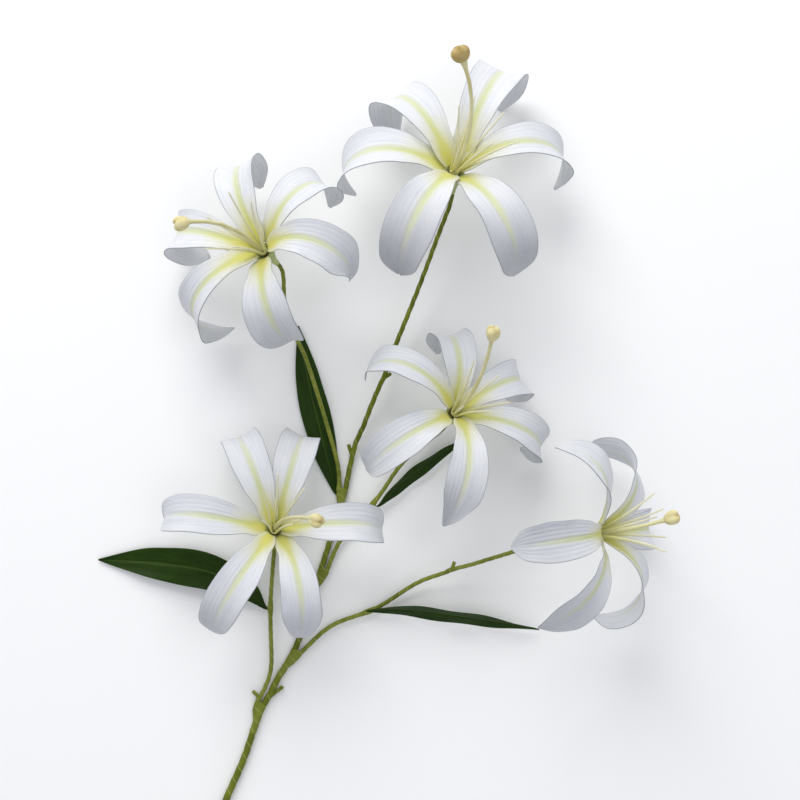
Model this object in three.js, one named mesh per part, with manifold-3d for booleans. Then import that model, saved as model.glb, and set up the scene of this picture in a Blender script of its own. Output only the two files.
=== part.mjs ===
// A cut spray of five white lilies, lying on its back on a flat surface. Millimetres, +Z up.
// A stem forks into five flower stalks. Each flower has six recurved tepals round a short cup,
// six bare filaments on one collar, and a long curved pistil that ends in a round stigma.
// The stem runs along +Y from its cut end to the highest flower, and the flowers open upwards.
import * as THREE from "three";
import Module from "manifold-3d";
import { mergeVertices } from "three/addons/utils/BufferGeometryUtils.js";

const wasm = await Module();
wasm.setup();

// ---------- driving dimensions ----------
const clearance = 0.3; // between pieces that touch

const tepalLength = 100; // along the midrib, of a flower of size 1
const tepalWidth = 29; // at the widest, of a flower of size 1
const tepalThickness = 1.1; // at the midrib
const tepalRise = 2.9; // how far the margins rise over the midrib at the widest
const innerWhorlRadius = 4.3; // from the flower's axis to the foot of a tepal
const outerWhorlRadius = 5.4;
const whorlGap = 0.25; // between the whorls, for tepals with no width
const whorlStep = whorlGap + tepalWidth / 20; // wider tepals need the outer whorl further back

const cupLength = 17; // the green cup behind the tepals
const cupMouthRadius = 6;
const cupFootRadius = 1.95; // where it meets the stalk
const cupRim = 1.4;
const cupMouth = -whorlStep - clearance - tepalThickness / 2; // below the tepals' feet

const collarRadius = 3; // the ring that carries the filaments
const collarHeight = 2.2;
const filamentRadius = 0.6;
const filamentCount = 6;
const filamentTurn = 42; // where the first one stands round the axis, in degrees
const filamentLength = 46; // of a flower of size 1
const filamentSpread = 13; // degrees off the style, at the foot
const filamentSpreadOdd = 19.5; // every second one leans further
const filamentCurl = 14; // degrees more by the tip
const styleRadius = 1.15;
const stigmaRadius = 4.6;
const stigmaHeight = 12; // of the swollen end of the style

const tailLength = 77; // the straight end of the main stem, from its last bend to the cut
const tailHeading = 249.4; // and where it points, in degrees
const stemFootRadius = 2.4; // the main stem at its cut end
const stemTopRadius = 1.5; // and under the highest flower
const stalkRadius = 1.35; // a side stalk
const neckBend = 7; // the last straight part of a stalk, behind the cup
const stubRadius = 1.1; // the short ends that cut leaves left
const stubShare = 0.8; // and never thicker than this share of their stem

const leafThickness = 0.8;
const leafCup = 0.15; // how far the margins rise, as a share of half the leaf's width

const tubeSides = 8;
const latheSides = 12; // of the cup and the collar
const mainRings = 44; // along the main stem
const stalkRings = 26; // along a side stalk
const filamentSides = 5;
const filamentRings = 6;
const stubSides = 6;
const styleRings = 12;
const bladeStations = 12; // rings along a tepal or a leaf
const bladeColumns = 4; // strips across a tepal or a leaf

// ---------- colours ----------
const green = new THREE.MeshStandardMaterial({ color: "#6f8038", roughness: 0.6, metalness: 0 });
const leafGreen = new THREE.MeshStandardMaterial({ color: "#1f4214", roughness: 0.5, metalness: 0 });
const petalWhite = new THREE.MeshStandardMaterial({ color: "#eef0f8", roughness: 0.7, metalness: 0 });
const cupGreen = new THREE.MeshStandardMaterial({ color: "#c6cc7c", roughness: 0.6, metalness: 0 });
const filamentCream = new THREE.MeshStandardMaterial({ color: "#e9e6a0", roughness: 0.5, metalness: 0 });
const styleCream = new THREE.MeshStandardMaterial({ color: "#e3dba2", roughness: 0.5, metalness: 0 });

// ---------- outlines: [share of the length, share of the full width] ----------
const tepalOutline = outline([
  [0, 0.12], [0.12, 0.36], [0.3, 0.76], [0.5, 0.97], [0.68, 1], [0.84, 0.84], [0.94, 0.52], [1, 0.08],
]);
const leafOutline = outline([
  [0, 0.2], [0.12, 0.55], [0.3, 0.9], [0.48, 1], [0.68, 0.84], [0.86, 0.44], [1, 0.03],
]);

// ---------- the layout ----------
// The places of the flowers, stems and leaves below are drawn for tepals of this length and width.
// Longer or wider tepals spread them out, so that neighbouring flowers stay clear of each other.
const drawnLength = 100;
const drawnWidth = 29;
const spread = (tepalLength + (tepalWidth - drawnWidth) / 2) / drawnLength;

// ---------- the flowers ----------
// throat: where the axis meets the mouth of the cup, over the surface. Its height follows from the
// tepals that the flower rests on, plus lift.
// lean: the axis tips from upright by `by` degrees, towards the heading `to` (0 is +X, 90 is +Y).
// tepals: turn is the place round the axis, open the angle from the axis at the foot, curl how far
// the blade bends back by its tip, late how much of that bend waits for the outer half, tip an
// extra roll in the last quarter, sweep a sideways bend, twist a turn about the midrib.
// pistil: the same path words, with its own length.
const flowers = [
  {
    name: "top", size: 1, throat: [32.5, 137], lift: 0, lean: { to: 86, by: 36 },
    tepals: [
      { turn: 243, open: 52, curl: 145, late: 1.6, long: 0.96, wide: 1.04 },
      { turn: 299, open: 52, curl: 145, late: 1.6, long: 0.94 },
      { turn: 14, open: 42, curl: 170, late: 1.2, long: 1.06 },
      { turn: 64, open: 34, curl: 195, late: 1.7, long: 1.15 },
      { turn: 126, open: 38, curl: 200, late: 1.5, long: 1.02 },
      { turn: 172, open: 44, curl: 170, late: 1.2, tip: 20, wide: 1.1 },
    ],
    pistil: { turn: 10, open: 22, curl: -44, late: 1.2, sweep: 36, length: 82 },
  },
  {
    name: "left", size: 0.93, throat: [-82, 89], lift: 0, lean: { to: 140, by: 32 },
    tepals: [
      { turn: 110, open: 42, curl: 190, late: 1.6, long: 0.97, sweep: -8 },
      { turn: 52, open: 45, curl: 190, late: 1.4, long: 0.88, wide: 0.95 },
      { turn: 14, open: 52, curl: 160, late: 1.5, sweep: -70, long: 0.88, wide: 0.92 },
      { turn: 281, open: 58, curl: 155, late: 1.2, long: 0.78 },
      { turn: 216, open: 45, curl: 190, late: 1.1, long: 1.12 },
      { turn: 165, open: 40, curl: 190, late: 1.3, long: 1.1 },
    ],
    pistil: { turn: 215, open: 0, curl: 62, late: 2, sweep: -4, length: 72 },
  },
  {
    name: "middle", size: 0.82, throat: [34, -7], lift: 0, lean: { to: 55, by: 30 },
    tepals: [
      { turn: 134, open: 46, curl: 155, late: 1.3, sweep: 36, wide: 0.84 },
      { turn: 85, open: 40, curl: 190, late: 1.6, sweep: 25, long: 0.9 },
      { turn: 36, open: 44, curl: 190, late: 1.6, sweep: -25, long: 0.9 },
      { turn: 342, open: 50, curl: 150, late: 1.4, tip: 80, long: 0.96 },
      { turn: 283, open: 50, curl: 105, late: 1.2, sweep: -45, long: 0.98 },
      { turn: 212, open: 50, curl: 135, late: 1.3, long: 0.94 },
    ],
    pistil: { turn: 5, open: 10, curl: -14, sweep: 34, length: 74 },
  },
  {
    name: "lower", size: 0.83, throat: [-76, -78], lift: 0, lean: { to: 80, by: 18 },
    tepals: [
      { turn: 112, open: 52, curl: 170, late: 2.2, long: 0.98 },
      { turn: 74, open: 52, curl: 170, late: 2.2, long: 0.95 },
      { turn: 0, open: 58, curl: 140, late: 2.4, long: 0.95 },
      { turn: 306, open: 56, curl: 125, late: 1.8, sweep: -52, long: 0.96 },
      { turn: 239, open: 58, curl: 120, late: 2.2, long: 0.99 },
      { turn: 174, open: 58, curl: 135, late: 2.4, long: 0.95 },
    ],
    pistil: { turn: 50, open: 18, curl: 5, sweep: -60, length: 50 },
  },
  {
    name: "right", size: 0.85, throat: [119, -78], lift: 0, lean: { to: 8, by: 74 },
    tepals: [
      { turn: 186, open: 75, curl: 110, late: 0.8, long: 0.84, wide: 0.95 },
      { turn: 127, open: 54, curl: 125, late: 1.5, long: 0.85 },
      { turn: 55, open: 32, curl: 165, late: 1.3, long: 1.04 },
      { turn: 2, open: 28, curl: 175, late: 1.4, long: 1.03 },
      { turn: 304, open: 36, curl: 170, late: 1.3 },
      { turn: 230, open: 66, curl: 105, late: 1.0, long: 0.95, wide: 1.08 },
    ],
    pistil: { turn: 90, open: 0, curl: 12, late: 1.0, sweep: 0, length: 46 },
  },
];

// ---------- the stems ----------
// points run from the last bend over the foot to just under the flower. The last part of each stem
// follows from its flower, and the main stem's straight tail from its length.
// A side stalk starts beside the main stem, at a share of its length over the tail.
// stubs: short cut ends, at a share of the length, towards a heading.
const mainStem = {
  name: "main_stem", flower: "top",
  points: [
    [-108, -248, 0], [-97, -223, 0], [-85, -189, 0], [-64, -152, 0], [-48, -102, 0], [-34, -56, 0.5],
    [-29, -34, 2], [-9, 18, 10], [12, 70, 20], [24, 102, 28],
  ],
  stubs: [
    { at: 0.29, to: 30, length: 10 }, { at: 0.63, to: 115, length: 9 }, { at: 0.74, to: 30, length: 8 },
  ],
};
const sideStalks = [
  {
    name: "stalk_left", flower: "left", at: 0.506, side: 1,
    points: [[-38, -43, 4], [-46, -12, 9], [-55, 18, 18], [-63, 43, 28]],
    stubs: [],
  },
  {
    name: "stalk_middle", flower: "middle", at: 0.381, side: -1,
    points: [[-37, -87, 4], [-15, -62, 6], [3, -37, 10]],
    stubs: [],
  },
  {
    name: "stalk_lower", flower: "lower", at: 0.155, side: 1,
    points: [[-81, -172, 4], [-80, -124, 5.5]],
    stubs: [{ at: 0.06, to: 160, length: 5 }],
  },
  {
    name: "stalk_right", flower: "right", at: 0.25, side: -1,
    points: [[-43, -140, 3], [-15, -129, 4], [12, -112, 8], [34, -104, 14], [66, -93, 26]],
    stubs: [{ at: 0.55, to: 80, length: 6 }],
  },
];

// ---------- the leaves ----------
// A leaf grows beside its stalk, which it leaves towards the heading off. Its points run along its
// midrib, drawn from the middle of the stalk; roll turns the blade about it, in degrees.
const leaves = [
  {
    name: "leaf_left", width: 18, roll: 0, off: 180,
    points: [[-38.5, -57, 1.1], [-44.6, -32, 1.1], [-54.4, 8, 1.5], [-61.4, 46, 1.4]],
  },
  {
    name: "leaf_middle", width: 10, roll: 40, off: -50,
    points: [[-15, -64.8, 6], [2, -48.8, 7], [19, -35.8, 7], [39, -22.8, 6]],
  },
  {
    name: "leaf_lower", width: 23, roll: 0, off: 180,
    points: [
      [-82.4, -128, 4], [-90.4, -119, 7], [-113.4, -107, 7], [-148.4, -101, 4], [-185.4, -99, 1.5],
    ],
  },
  {
    name: "leaf_right", width: 13, roll: 50, off: -90,
    points: [[-20, -128.8, 6], [0, -127.6, 8], [32, -131.2, 8], [60, -135.6, 7], [86, -140.4, 5]],
  },
];

// ---------- paths ----------
// A path bends away from an axis: it starts `open` degrees off it, bends back by `curl`, and
// carries a frame along: tangent, side and face, the face being the side that looks inwards.
function bentPath(path, start, axis, radial, length, steps) {
  const side = axis.clone().cross(radial).normalize();
  const tangent = axis.clone().applyAxisAngle(side, rad(path.open));
  const face = tangent.clone().applyAxisAngle(side, -Math.PI / 2);
  const point = start.clone();
  const stations = [station(0)];
  for (let i = 1; i <= steps; i++) {
    const from = (i - 1) / steps;
    const to = i / steps;
    const bend = bendAt(path, to) - bendAt(path, from);
    tangent.applyAxisAngle(side, rad(bend / 2));
    tangent.applyAxisAngle(face, rad((path.sweep ?? 0) / steps));
    point.addScaledVector(tangent, length / steps);
    tangent.applyAxisAngle(side, rad(bend / 2));
    face.applyAxisAngle(side, rad(bend));
    side.applyAxisAngle(face, rad((path.sweep ?? 0) / steps));
    const roll = rad((path.twist ?? 0) / steps);
    side.applyAxisAngle(tangent, roll);
    face.applyAxisAngle(tangent, roll);
    side.crossVectors(face, tangent).normalize();
    face.crossVectors(tangent, side).normalize();
    stations.push(station(to));
  }
  return stations;

  function station(share) {
    return { share, point: point.clone(), side: side.clone(), face: face.clone() };
  }
}

// The bend reached at a share of the length: an arc whose outer part is tighter when late is over 1.
function bendAt(path, share) {
  const roll = THREE.MathUtils.smoothstep(share, 0.75, 1) * (path.tip ?? 0);
  return path.curl * share ** (path.late ?? 1) + roll;
}

// ---------- closed lofts ----------
// Joins rings of points, all of one count, into a closed geometry with a pole at each end.
function loft(rings) {
  const count = rings[0].length;
  const points = rings.flat();
  const faces = [];
  for (let r = 0; r + 1 < rings.length; r++) {
    for (let k = 0; k < count; k++) {
      const a = r * count + k;
      const b = r * count + ((k + 1) % count);
      faces.push(a, b, b + count, a, b + count, a + count);
    }
  }
  const foot = points.push(middle(rings[0])) - 1;
  const tip = points.push(middle(rings.at(-1))) - 1;
  const last = (rings.length - 1) * count;
  for (let k = 0; k < count; k++) {
    faces.push(foot, (k + 1) % count, k);
    faces.push(tip, last + k, last + ((k + 1) % count));
  }
  return new THREE.BufferGeometry().setFromPoints(points).setIndex(faces);
}

function middle(ring) {
  return ring.reduce((sum, p) => sum.add(p), new THREE.Vector3()).divideScalar(ring.length);
}

// A thin blade on a path: a lens-shaped section whose two faces meet at the margins, which rise.
function blade(stations, outlineOf, width, thickness, rise) {
  const rings = stations.map(({ share, point, side, face }) => {
    const half = (width / 2) * outlineOf(share);
    const lift = rise * outlineOf(share);
    const across = (v, skin) =>
      point
        .clone()
        .addScaledVector(side, v * half)
        .addScaledVector(face, lift * v * v + skin * (thickness / 2) * (1 - v * v));
    const ring = [];
    for (let k = 0; k < bladeColumns; k++) ring.push(across(1 - (2 * k) / bladeColumns, 1));
    for (let k = 0; k < bladeColumns; k++) ring.push(across((2 * k) / bladeColumns - 1, -1));
    return ring;
  });
  return loft(rings);
}

// A round tube on a curve, its radius given by a function of the share of the length.
function tube(curve, radiusOf, steps, sides = tubeSides) {
  const frames = curve.computeFrenetFrames(steps);
  const rings = [];
  for (let i = 0; i <= steps; i++) {
    const centre = curve.getPointAt(i / steps);
    rings.push(circle(centre, frames.normals[i], frames.binormals[i], radiusOf(i / steps), sides));
  }
  return loft(rings);
}

function circle(centre, across, up, radius, sides) {
  return Array.from({ length: sides }, (_, k) => {
    const angle = (2 * Math.PI * k) / sides;
    return centre
      .clone()
      .addScaledVector(across, radius * Math.cos(angle))
      .addScaledVector(up, radius * Math.sin(angle));
  });
}

// ---------- booleans ----------
function solidOf(geometry) {
  const bare = new THREE.BufferGeometry().setAttribute("position", geometry.getAttribute("position"));
  bare.setIndex(geometry.index);
  const merged = mergeVertices(bare, 1e-4);
  return new wasm.Manifold(
    new wasm.Mesh({
      numProp: 3,
      vertProperties: merged.attributes.position.array,
      triVerts: new Uint32Array(merged.index.array),
    }),
  );
}

function geometryOf(solid) {
  const mesh = solid.getMesh();
  return new THREE.BufferGeometry()
    .setAttribute("position", new THREE.BufferAttribute(Float32Array.from(mesh.vertProperties), 3))
    .setIndex(new THREE.BufferAttribute(Uint32Array.from(mesh.triVerts), 1));
}

// ---------- one flower ----------
function flowerFrame(flower) {
  const heading = rad(flower.lean.to);
  const tilt = rad(flower.lean.by);
  const axis = new THREE.Vector3(
    Math.sin(tilt) * Math.cos(heading),
    Math.sin(tilt) * Math.sin(heading),
    Math.cos(tilt),
  );
  return new THREE.Quaternion().setFromUnitVectors(new THREE.Vector3(0, 0, 1), axis);
}

// Everything of one flower, round its own axis (+Z, the throat at the origin).
function makeFlower(flower) {
  const group = new THREE.Group();
  const axis = new THREE.Vector3(0, 0, 1);
  flower.tepals.forEach((tepal, i) => {
    const outer = i % 2 === 1;
    const radial = heading(tepal.turn);
    const foot = radial.clone().multiplyScalar(outer ? outerWhorlRadius : innerWhorlRadius);
    foot.z = outer ? -whorlStep : 0;
    const length = tepalLength * flower.size * (tepal.long ?? 1);
    const stations = bentPath(tepal, foot, axis, radial, length, bladeStations - 1);
    const share = flower.size * (tepal.wide ?? 1);
    const [width, rise] = [tepalWidth * share, tepalRise * share];
    const shape = blade(stations, tepalOutline, width, tepalThickness, rise);
    group.add(named(shape, petalWhite, `tepal_${flower.name}_${i + 1}`));
  });
  const resting = new THREE.Box3().setFromObject(rotated(group, flower), true);
  const height = flower.lift - resting.min.z;

  group.add(named(cupShape(), cupGreen, `cup_${flower.name}`));
  group.add(named(stamenShape(flower), filamentCream, `stamens_${flower.name}`));
  group.add(named(pistilShape(flower), styleCream, `pistil_${flower.name}`));
  rotated(group, flower);
  group.position.set(flower.throat[0] * spread, flower.throat[1] * spread, height);
  return group;
}

function rotated(group, flower) {
  group.quaternion.copy(flowerFrame(flower));
  group.updateMatrixWorld(true);
  return group;
}

function cupShape() {
  const back = cupMouth - cupLength;
  const profile = [
    [0, back], [cupFootRadius, back], [cupFootRadius + 0.9, back + cupLength * 0.35],
    [cupMouthRadius - 1, cupMouth - cupRim * 2], [cupMouthRadius, cupMouth - cupRim],
    [cupMouthRadius, cupMouth], [0, cupMouth],
  ];
  const shape = new THREE.LatheGeometry(profile.map(([r, z]) => new THREE.Vector2(r, z)), latheSides);
  return shape.rotateX(Math.PI / 2);
}

// Six filaments that fan out round the style, from a collar with a hole for it.
function stamenShape(flower) {
  const foot = cupMouth + clearance;
  const top = foot + collarHeight;
  const hole = styleRadius + 3 * clearance;
  const profile = [[hole, foot], [collarRadius, foot], [collarRadius, top], [hole, top], [hole, foot]];
  const ring = new THREE.LatheGeometry(profile.map(([r, z]) => new THREE.Vector2(r, z)), latheSides);
  let solid = solidOf(ring.rotateX(Math.PI / 2));
  const side = heading(flower.pistil.turn + 90);
  const axis = new THREE.Vector3(0, 0, 1).applyAxisAngle(side, rad(flower.pistil.open));
  for (let k = 0; k < filamentCount; k++) {
    const radial = heading(filamentTurn + (360 * k) / filamentCount);
    const start = radial.clone().multiplyScalar(collarRadius - filamentRadius);
    start.z = top - filamentRadius;
    const path = { open: k % 2 ? filamentSpreadOdd : filamentSpread, curl: filamentCurl };
    const line = bentPath(path, start, axis, radial, filamentLength * flower.size, filamentRings - 1);
    const curve = new THREE.CatmullRomCurve3(line.map((s) => s.point));
    solid = solid.add(solidOf(tube(curve, () => filamentRadius, filamentRings, filamentSides)));
  }
  return geometryOf(solid);
}

// The style stands straight in the collar, then bends; the round stigma is on its end.
function pistilShape(flower) {
  const axis = new THREE.Vector3(0, 0, 1);
  const foot = axis.clone().multiplyScalar(cupMouth + clearance);
  const bend = axis.clone().multiplyScalar(cupMouth + 5 * clearance + collarHeight);
  const radial = heading(flower.pistil.turn);
  const line = bentPath(flower.pistil, bend, axis, radial, flower.pistil.length, styleRings);
  const curve = new THREE.CatmullRomCurve3([foot, ...line.map((s) => s.point)]);
  const length = curve.getLength();
  const neck = stigmaHeight / length;
  const radiusOf = (share) => {
    const left = Math.min(1, (1 - share) / neck);
    const swelling = Math.sin(Math.PI * left ** 0.8) ** 1.2;
    return styleRadius + (stigmaRadius - styleRadius) * (left < 1 ? swelling : 0);
  };
  const shares = [0, 1, 2, 3, 4, 5, 6, 7].map((i) => ((1 - neck) * i) / 7);
  for (const left of [0.75, 0.5, 0.3, 0.12, 0.02]) shares.push(1 - neck * left);
  return tubeAt(curve, shares, radiusOf, tubeSides);
}

// A tube whose rings stand at the given shares of the curve.
function tubeAt(curve, shares, radiusOf, sides) {
  const fine = 100;
  const frames = curve.computeFrenetFrames(fine);
  return loft(
    shares.map((share) => {
      const at = Math.round(share * fine);
      const centre = curve.getPointAt(share);
      return circle(centre, frames.normals[at], frames.binormals[at], radiusOf(share), sides);
    }),
  );
}

// ---------- small helpers ----------
function rad(degrees) {
  return THREE.MathUtils.degToRad(degrees);
}

function heading(degrees) {
  return new THREE.Vector3(Math.cos(rad(degrees)), Math.sin(rad(degrees)), 0);
}

// A smooth curve through points.
function smooth(points) {
  return new THREE.CatmullRomCurve3(points, false, "centripetal");
}

// The share of the full width at a share of the length.
function outline(points) {
  const fine = smooth(points.map(([s, w]) => new THREE.Vector3(s, w, 0))).getPoints(200);
  return (share) => {
    const after = Math.max(1, fine.findIndex((p) => p.x >= share - 1e-9));
    const p = fine[after - 1];
    const q = fine[after];
    return THREE.MathUtils.lerp(p.y, q.y, (share - p.x) / (q.x - p.x));
  };
}

function named(geometry, material, name) {
  const mesh = new THREE.Mesh(geometry, material);
  mesh.name = name;
  return mesh;
}

// The points of a layout in their places, all moved by a step.
function placed(points, step = new THREE.Vector3()) {
  return points.map((p) => new THREE.Vector3(...p).multiplyScalar(spread).add(step));
}

// ---------- the stems and the leaves ----------
function stemCurve(points, flower) {
  const axis = new THREE.Vector3(0, 0, 1).applyQuaternion(flower.quaternion);
  const neck = new THREE.Vector3(0, 0, cupMouth - cupLength - clearance).applyMatrix4(flower.matrixWorld);
  return smooth([...points, neck.clone().addScaledVector(axis, -neckBend), neck]);
}

function withStubs(solid, curve, radiusOf, stubs) {
  for (const stub of stubs) {
    const start = curve.getPointAt(stub.at);
    const lean = curve.getTangentAt(stub.at).add(heading(stub.to)).normalize();
    const end = start.clone().addScaledVector(lean, stub.length);
    const line = new THREE.LineCurve3(start, end);
    const radius = Math.min(stubRadius, stubShare * radiusOf(stub.at));
    solid = solid.add(solidOf(tube(line, () => radius, 1, stubSides)));
  }
  return solid;
}

// ---------- the whole spray ----------
const spray = new THREE.Group();
const byName = {};
for (const flower of flowers) {
  byName[flower.name] = makeFlower(flower);
  spray.add(byName[flower.name]);
}
spray.updateMatrixWorld(true);

const mainRadius = (share) => THREE.MathUtils.lerp(stemFootRadius, stemTopRadius, share);
const mainLine = placed(mainStem.points, new THREE.Vector3(0, 0, stemFootRadius));
mainLine.unshift(mainLine[0].clone().addScaledVector(heading(tailHeading), tailLength));
const mainCurve = stemCurve(mainLine, byName[mainStem.flower]);
const mainTube = solidOf(tube(mainCurve, mainRadius, mainRings));
const mainSolid = withStubs(mainTube, mainCurve, mainRadius, mainStem.stubs);
spray.add(named(geometryOf(mainSolid), green, mainStem.name));

const tailShare = tailLength / mainCurve.getLength();
for (const stalk of sideStalks) {
  const at = THREE.MathUtils.lerp(tailShare, 1, stalk.at);
  const beside = mainRadius(at) + stalkRadius + clearance;
  const tangent = mainCurve.getTangentAt(at);
  const across = new THREE.Vector3(-tangent.y, tangent.x, 0).normalize();
  const start = mainCurve.getPointAt(at).addScaledVector(across, stalk.side * beside);
  const curve = stemCurve([start, ...placed(stalk.points)], byName[stalk.flower]);
  const radiusOf = () => stalkRadius;
  const bare = solidOf(tube(curve, radiusOf, stalkRings));
  const solid = withStubs(bare, curve, radiusOf, stalk.stubs);
  spray.add(named(geometryOf(solid), green, stalk.name));
}

for (const leaf of leaves) {
  const beside = heading(leaf.off).multiplyScalar(stalkRadius + clearance);
  const curve = smooth(placed(leaf.points, beside));
  const stations = Array.from({ length: bladeStations }, (_, i) => {
    const share = i / (bladeStations - 1);
    const tangent = curve.getTangentAt(share);
    const side = new THREE.Vector3(-tangent.y, tangent.x, 0).normalize();
    side.applyAxisAngle(tangent, rad(leaf.roll));
    const face = tangent.clone().cross(side).normalize();
    return { share, point: curve.getPointAt(share), side, face };
  });
  const rise = (leafCup * leaf.width) / 2;
  const shape = blade(stations, leafOutline, leaf.width, leafThickness, rise);
  spray.add(named(shape, leafGreen, leaf.name));
}

const box = new THREE.Box3().setFromObject(spray, true);
const centre = box.getCenter(new THREE.Vector3());
spray.position.set(-centre.x, -centre.y, -box.min.z);

export default spray;
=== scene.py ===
import math
import random

import bmesh
import bpy
import numpy as np
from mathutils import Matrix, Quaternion, Vector


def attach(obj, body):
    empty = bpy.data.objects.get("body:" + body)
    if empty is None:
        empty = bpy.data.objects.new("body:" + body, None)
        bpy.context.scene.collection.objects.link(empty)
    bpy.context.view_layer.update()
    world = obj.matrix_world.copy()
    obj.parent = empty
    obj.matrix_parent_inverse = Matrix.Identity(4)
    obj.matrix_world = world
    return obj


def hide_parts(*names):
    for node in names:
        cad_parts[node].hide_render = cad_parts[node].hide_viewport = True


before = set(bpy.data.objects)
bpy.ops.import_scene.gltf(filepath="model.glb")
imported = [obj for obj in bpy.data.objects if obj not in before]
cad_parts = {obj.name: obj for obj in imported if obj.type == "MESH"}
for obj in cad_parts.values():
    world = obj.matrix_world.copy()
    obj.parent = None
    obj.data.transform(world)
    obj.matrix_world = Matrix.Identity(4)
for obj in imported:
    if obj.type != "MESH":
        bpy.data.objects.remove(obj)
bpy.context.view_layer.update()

bpy.ops.object.select_all(action="DESELECT")
MM = 0.001
UP = Vector((0, 0, 1))

# The frame's own meshes: how many corners go round a blade or a stem, and round a cup.
BLADE_SIDES = 8
CUP_SIDES = 12
SAME_PLACE = 2e-6  # corners nearer than this are one

# The five flowers: the size of each, and the heading its filaments lean to and how far, in degrees.
FLOWERS = {
    "top": dict(size=1.0, turn=10, lean=22),
    "left": dict(size=0.93, turn=215, lean=0),
    "middle": dict(size=0.82, turn=5, lean=10),
    "lower": dict(size=0.83, turn=50, lean=18),
    "right": dict(size=0.85, turn=90, lean=0),
}
CUP_MOUTH = 2.55 * MM  # the mouth of the cup lies this far behind the throat
CUP_RADII = (1.7, 2.1, 3.0, 4.2, 5.3, 5.9)  # in mm, from the back to the mouth
# The lip and the hollow: the share of the mouth's radius, and the height over it in mm.
CUP_LIP = [(0.93, 0.25), (0.82, -0.1), (0.55, -1.1), (0.25, -1.6), (0.0, -1.7)]
COLLAR_RADIUS = 3.0 * MM
COLLAR_HOLE = 2.05 * MM  # the radius of its hole
COLLAR_HEIGHT = 2.2 * MM
COLLAR_GAP = 0.3 * MM  # between it and the cup's mouth
FILAMENT_LENGTH = 46 * MM  # of a flower of size 1
FILAMENT_RADIUS = 0.6 * MM
FILAMENT_TURN = 42  # where the first one stands round the axis, in degrees
FILAMENT_SPREADS = (13, 19.5)  # degrees off the axis, by turns
FILAMENT_CURL = 14  # degrees more by the tip
FILAMENT_STEP = 1.2 * MM  # between its rings, and the length of its rounded tip

# Rows along a blade and columns across it.
TEPAL_GRID = (97, 41)
LEAF_GRID = (120, 29)
BLADE_THICKNESS = 0.5 * MM


# ---------- reading the frame ----------
LEAST_CUTS = 6  # fewer cut edges than this, and the stem has ended


def merged(node):
    """A frame node's mesh with its doubled corners merged."""
    mesh = bmesh.new()
    mesh.from_mesh(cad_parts[node].data)
    bmesh.ops.remove_doubles(mesh, verts=mesh.verts, dist=SAME_PLACE)
    mesh.verts.ensure_lookup_table()
    return mesh


def rings_of(node, near):
    """The rings of points that a lofted node is made of, from the pole that is nearer a place."""
    mesh = merged(node)
    poles = [v for v in mesh.verts if len(v.link_edges) == BLADE_SIDES]
    poles.sort(key=lambda v: (v.co - near).length)
    seen = {poles[0]}
    level = set(seen)
    rings = []
    while True:
        level = {e.other_vert(v) for v in level for e in v.link_edges} - seen
        if len(level) < BLADE_SIDES:
            break
        seen |= level
        rings.append(level)
    ordered = []
    for ring in rings:
        loop = walk(ring)
        ordered.append(lined_up(loop, ordered[-1]) if ordered else loop)
    points = np.array([[v.co[:] for v in loop] for loop in ordered])
    mesh.free()
    return points


def walk(ring):
    """The corners of one ring, one after the other."""
    loop = [min(ring, key=lambda v: v.index)]
    while len(loop) < len(ring):
        around = sorted((e.other_vert(loop[-1]) for e in loop[-1].link_edges), key=lambda v: v.index)
        loop.append(next(v for v in around if v in ring and v not in loop))
    return loop


def turned(loop, start):
    return loop[start:] + loop[:start]


def lined_up(loop, before):
    """Turns a ring so that its corners follow on from those of the ring before it."""
    both = [loop, loop[::-1]]
    choices = [turned(side, k) for side in both for k in range(len(loop))]
    return min(choices, key=lambda c: sum((a.co - b.co).length for a, b in zip(c, before)))


def flower_frame(name):
    """From a flower's cup: its throat, the turn from upright to its axis, the axis, and the back."""
    mesh = merged("cup_" + name)
    poles = [v for v in mesh.verts if len(v.link_edges) == CUP_SIDES]
    poles.sort(key=lambda v: sum((e.other_vert(v).co - v.co).length for e in v.link_edges))
    back, mouth = (v.co.copy() for v in poles)
    mesh.free()
    axis = (mouth - back).normalized()
    return mouth + axis * CUP_MOUTH, UP.rotation_difference(axis), axis, back


def start_of(node, flower):
    """The foot of a stem: the middle of the end face that is away from its flower."""
    mesh = merged(node)
    poles = [v.co.copy() for v in mesh.verts if len(v.link_edges) == BLADE_SIDES]
    mesh.free()
    return max(poles, key=lambda p: (p - FLOWERS[flower]["back"]).length)


def middle_line(node, start, first_heading, step, reach):
    """The middle of a stem, found by cutting its frame node across at even steps. Cut edges past
    the reach belong to another part of it."""
    mesh = merged(node)
    ends = np.array([[v.co[:] for v in e.verts] for e in mesh.edges])
    mesh.free()
    line = [np.array(start)]
    along = np.array(first_heading, float)
    while True:
        guess = line[-1] + along * step
        height = (ends - guess) @ along
        cut = height[:, 0] * height[:, 1] < 0
        share = (height[cut, 0] / (height[cut, 0] - height[cut, 1]))[:, None]
        points = ends[cut, 0] * (1 - share) + ends[cut, 1] * share
        points = points[np.linalg.norm(points - guess, axis=1) < reach]
        if len(points) < LEAST_CUTS:
            break
        low, high = points.min(0), points.max(0)
        line.append((points.mean(0) + (low + high) / 2) / 2)
        move = line[-1] - line[max(0, len(line) - 4)]
        along = move / np.linalg.norm(move)
    return np.array(line)


# ---------- smooth lines and surfaces ----------
FINENESS = 12  # points on a smooth line for each of its knots


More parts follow.
